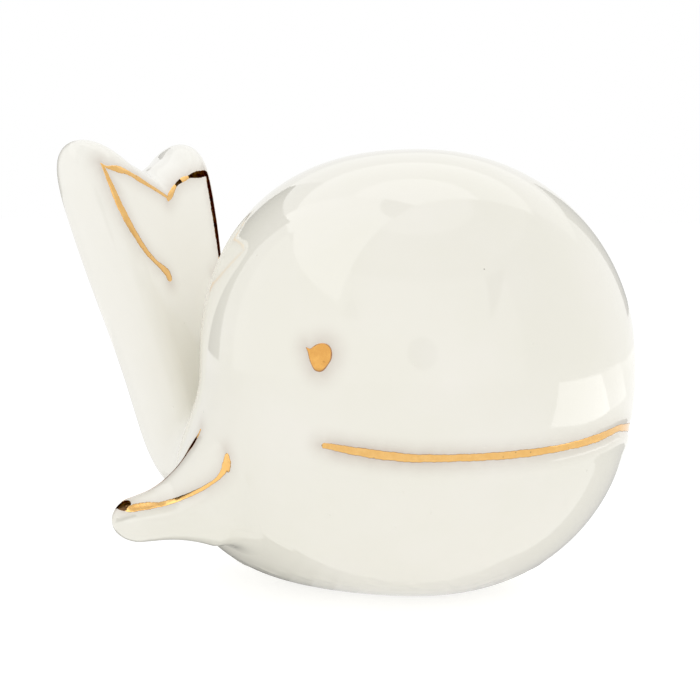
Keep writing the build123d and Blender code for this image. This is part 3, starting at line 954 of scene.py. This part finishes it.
# Each soft box is a square, stands at a place in metres and shines at the whale's middle.
soft_boxes = {
    "top_box": ((0.05, -0.10, 0.62), 0.55, 0.187),
    "left_box": ((-0.42, -0.36, 0.34), 0.45, 0.22),
    "front_box": ((-0.20, -0.52, 0.10), 0.30, 0.08),
    "right_box": ((0.40, -0.44, 0.24), 0.40, 0.30),
    "back_box": ((0.22, 0.44, 0.20), 0.40, 0.48),
}
for name, (place, size, watts) in soft_boxes.items():
    data = bpy.data.lights.new(name, "AREA")
    data.size, data.energy = size, watts
    holder = bpy.data.objects.new(name, data)
    scene.collection.objects.link(holder)
    aim = np.array(place) - target * mm
    holder.location = place
    holder.rotation_euler = (math.acos(aim[2] / np.linalg.norm(aim)), 0, math.atan2(aim[1], aim[0]) + math.pi / 2)
    holder.visible_glossy = False

floor_reach = 3000
floor_corners = np.array([[(-1, -1, 0), (1, -1, 0)], [(-1, 1, 0), (1, 1, 0)]]) * floor_reach
floor = surface("floor", floor_corners, close_round=False)
paper, tree = new_material("floor_paper")
matt = tree.nodes["Principled BSDF"]
matt.inputs["Base Color"].default_value = (paper_grey, paper_grey, paper_grey, 1)
matt.inputs["Roughness"].default_value = 1.0
matt.inputs["Specular IOR Level"].default_value = 0.0
glow = add_node(tree, "Emission", Color=(1, 1, 1, 1), Strength=shown_strength(tree, paper_light, paper_seen))
both = add_node(tree, "AddShader", i0=matt.outputs[0], i1=glow.outputs[0])
tree.links.new(both.outputs[0], tree.nodes["Material Output"].inputs["Surface"])
finish_with(floor, paper)


def dome_patch(*corners):
    """A patch between four corners, each given by its azimuth and elevation in degrees, seen from the
    ball's middle, and its distance in millimetres; between them all three change evenly."""
    a, b = np.meshgrid(np.linspace(0, 1, 17), np.linspace(0, 1, 17), indexing="ij")
    weights = np.stack([(1 - a) * (1 - b), a * (1 - b), a * b, (1 - a) * b], -1)
    azimuths, elevations, reaches = np.moveaxis(weights @ np.array(corners, float), -1, 0)
    azimuths, elevations = np.radians(azimuths), np.radians(elevations)
    flat = reaches * np.cos(elevations)
    return target + np.stack([flat * np.cos(azimuths), flat * np.sin(azimuths), reaches * np.sin(elevations)], -1)


card_lift = 0.04


def floor_patch(*corners):
    """A patch that lies on the floor, between corners given in millimetres to the camera's right and
    away from it, counted from the point under the ball's middle."""
    away = np.array([look[0], look[1], 0]) / math.hypot(look[0], look[1])
    places = [target * (1, 1, 0) + right * side + away * far + (0, 0, card_lift) for side, far in corners]
    return np.array([[places[0], places[1]], [places[3], places[2]]])


def card(name, glow, points):
    """A stage card that only the gloss shows."""
    sheet = surface(name, points, close_round=False)
    paint, tree = new_material(name)
    tree.nodes.remove(tree.nodes["Principled BSDF"])
    shine = add_node(tree, "Emission", Color=(1, 1, 1, 1), Strength=glow)
    tree.links.new(shine.outputs[0], tree.nodes["Material Output"].inputs["Surface"])
    finish_with(sheet, paint)
    sheet.visible_camera = sheet.visible_diffuse = sheet.visible_shadow = sheet.visible_transmission = False


dome_cards = {
    "left_dark_card": (0.06, (150, -2.4, 400), (138, 30, 400), (181, 45, 300), (176, -3.1, 300)),
    "left_low_card": (0.88, (140, -27, 62), (140, -4.5, 62), (197, -3.6, 62), (197, -27, 62)),
    "right_dark_card": (0.42, (99, 0, 300), (97, 24, 300), (80, 27, 300), (83, 2, 300)),
    "back_sheet": (1.25, (64, 28, 335), (64, 46, 335), (146, 46, 335), (140, 28, 335)),
    "left_box_front": (2.1, (-107, 28, 320), (-107, 78, 320), (-168, 78, 320), (-168, 46, 320)),
    "left_box_side": (2.0, (-168, 44, 320), (-168, 78, 320), (-190, 78, 320), (-190, 42, 320)),
    "top_box_low": (1.2, (-105, 50, 330), (-105, 70, 330), (60, 70, 330), (60, 50, 330)),
    "top_box_front": (1.6, (-105, 70, 330), (-105, 90, 330), (60, 90, 330), (60, 70, 330)),
    "top_box_back": (1.7, (60, 46, 330), (60, 66, 330), (172, 66, 330), (172, 46, 330)),
    "top_box_band": (2.2, (60, 66, 330), (60, 90, 330), (172, 90, 330), (172, 66, 330)),
    "front_sheet": (1.33, (-170, -4, 350), (-170, 43, 350), (-10, 43, 350), (-10, -4, 350)),
    "front_band": (1.05, (-104, 43, 345), (-104, 56, 345), (-5, 54, 345), (-5, 43, 345)),
    "left_bow_end": (0.8, (-103, 22, 250), (-101, 33, 250), (-96, 27, 250), (-93, 21, 250)),
    "right_bow_end": (0.5, (-27, 22, 250), (-22, 42, 250), (-6, 44, 250), (-14, 36, 250)),
}
for name, (glow, *corners) in dome_cards.items():
    card(name, glow, dome_patch(*corners))

# Under the foot lie grey sheets of painted shade, which only the gloss shows: the floor round and behind the foot,
# where less light falls, and darkest to the left, the painted shadow of the flipper and tail; the middle lightens in
# narrow steps.
shade_start, shade_step, shade_front, shade_back = -20, 3, -14, 60
shade_glows = (0.2, 0.33, 0.5, 0.65, 0.74, 0.78, 0.78, 0.76, 0.7, 0.64, 0.57)
floor_cards = {
    "left_floor": (0.95, (-150, 20), (-110, 300), (-700, 1100), (-1100, 200)),
    # Left: painted shadow of the flipper and tail on the floor; right: painted shade of the floor behind the foot.
    "left_painted_shadow": (0.12, (-50, -6), (-20, -13), (-20, 60), (-60, 60)),
    "right_painted_shade": (0.48, (13, -14), (64, 8), (78, 70), (13, 60)),
    "hot_floor": (2.7, (88, -48), (330, -110), (400, 90), (138, 45)),
    "warm_floor": (1.6, (138, 45), (400, 90), (520, 340), (150, 130)),
}
for k, glow in enumerate(shade_glows):
    near, far = shade_start + k * shade_step, shade_start + (k + 1) * shade_step
    floor_cards[f"middle_mat_{k}"] = (glow, (near, shade_front), (far, shade_front), (far, shade_back), (near, shade_back))
for name, (glow, *corners) in floor_cards.items():
    card(name, glow, floor_patch(*corners))

# The front of the lens, which the ball mirrors as a grey disc.
lens_radii, lens_glow = (0.5, 28), 0.5
lens_ahead, lens_right, lens_above = 6, 8, 12
lens_middle = spot + look * lens_ahead + right * lens_right + above * lens_above
disc_radius, disc_turn = np.meshgrid(lens_radii, full_turn(48), indexing="ij")
disc_right, disc_up = disc_radius * np.cos(disc_turn), disc_radius * np.sin(disc_turn)
card("lens_front", lens_glow, lens_middle + disc_right[..., None] * right + disc_up[..., None] * above)
